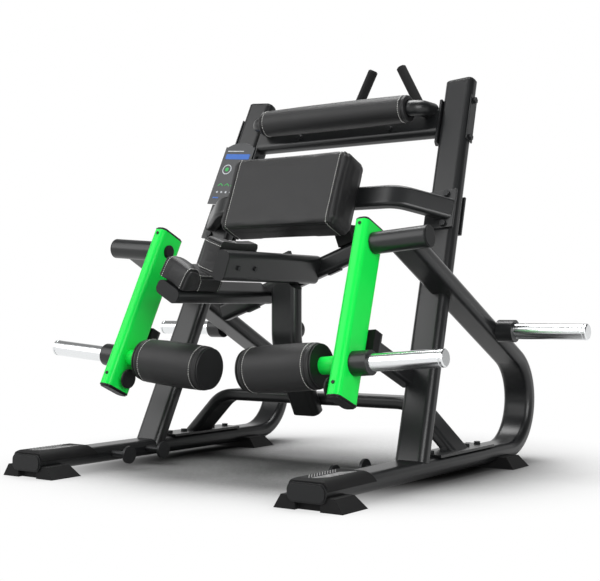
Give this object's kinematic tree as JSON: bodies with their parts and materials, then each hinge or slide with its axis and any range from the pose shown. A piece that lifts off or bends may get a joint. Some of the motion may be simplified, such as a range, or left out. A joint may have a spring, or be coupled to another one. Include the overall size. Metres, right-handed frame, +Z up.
{
  "type": "plate-loaded leg curl machine",
  "caption": "Plate-loaded leg curl machine: leaning steel frame, swinging green arms with ankle rollers and plate horns, rocking knee cradle, torso pad, top roller and hand grips.",
  "frame": {"origin": "on the floor under the middle of the bounding box", "axes": "+X to the machine's right as its user faces the rear, +Y to the rear, +Z up"},
  "size_m": [1.686, 1.286, 1.3676],
  "materials": {
    "frame_paint": "satin textured graphite powder coat",
    "arm_paint": "bright green gloss powder coat",
    "chrome": "polished chrome",
    "pad_cover": "black upholstery with light stitching",
    "rubber": "matte black",
    "black_plastic": "satin black",
    "steel": "zinc-plated",
    "black_steel": "blackened",
    "placard": "printed label plate"
  },
  "bodies": {
    "frame": {"left_hoop": "frame_paint", "right_hoop": "frame_paint", "left_upright": "frame_paint", "right_upright": "frame_paint", "tube_end_caps": "black_plastic", "foot_plates": "rubber", "rubber_feet": "rubber", "band_pegs": "steel", "left_pivot_housing": "frame_paint", "right_pivot_housing": "frame_paint", "pivot_bushes": "steel", "housing_caps": "black_plastic", "cross_arch": "frame_paint", "arch_flanges": "frame_paint", "arch_bolts": "steel", "center_post": "frame_paint", "cradle_pin": "steel", "top_crossbar": "frame_paint", "crossbar_plates": "frame_paint", "crossbar_bolts": "black_steel", "top_roller_tube": "frame_paint", "top_roller_pad": "pad_cover", "handle_bars": "frame_paint", "hand_grips": "rubber", "torso_bracket": "frame_paint", "torso_plates": "frame_paint", "torso_bolts": "black_steel", "torso_board": "black_plastic", "torso_pad": "pad_cover", "placard": "placard", "storage_collars": "frame_paint", "storage_sleeves": "chrome", "stop_struts": "frame_paint", "stop_bumpers": "rubber"},
    "left_arm": {"left_arm_tube": "arm_paint", "left_arm_trim": "black_plastic", "left_pivot_shaft": "steel", "left_roller_axle": "arm_paint", "left_band_disc": "black_plastic", "left_load_collar": "frame_paint", "left_load_sleeve": "chrome"},
    "left_roller": {"left_roller_core": "black_plastic", "left_roller_pad": "pad_cover"},
    "right_arm": {"right_arm_tube": "arm_paint", "right_arm_trim": "black_plastic", "right_pivot_shaft": "steel", "right_roller_axle": "arm_paint", "right_band_disc": "black_plastic", "right_load_collar": "frame_paint", "right_load_sleeve": "chrome"},
    "right_roller": {"right_roller_core": "black_plastic", "right_roller_pad": "pad_cover"},
    "knee_cradle": {"cradle_rails": "frame_paint", "cradle_crossbar": "frame_paint", "cradle_pivot": "frame_paint", "cradle_caps": "black_plastic", "cradle_bolts": "steel", "cradle_blocks": "rubber", "left_knee_pad": "pad_cover", "right_knee_pad": "pad_cover"}
  },
  "joints": [
    {"name": "left_arm_swing", "type": "hinge", "parent": "frame", "child": "left_arm", "pos_m": [-0.49642, -0.165, 0.69278], "axis": [-0.9968, 0, 0.0802], "range_deg": [0, 110]},
    {"name": "left_roller_spin", "type": "hinge", "parent": "left_arm", "child": "left_roller", "pos_m": [-0.20103, -0.31174, 0.33045], "axis": [-0.9968, 0, 0.0802], "continuous": true},
    {"name": "right_arm_swing", "type": "hinge", "parent": "frame", "child": "right_arm", "pos_m": [0.49642, -0.165, 0.69278], "axis": [-0.9968, 0, -0.0802], "range_deg": [0, 110]},
    {"name": "right_roller_spin", "type": "hinge", "parent": "right_arm", "child": "right_roller", "pos_m": [0.20103, -0.31174, 0.33045], "axis": [0.9968, 0, 0.0802], "continuous": true},
    {"name": "knee_cradle_tilt", "type": "hinge", "parent": "frame", "child": "knee_cradle", "pos_m": [0, 0.035, 0.433], "axis": [0, 1, 0], "range_deg": [0, 40]}
  ]
}
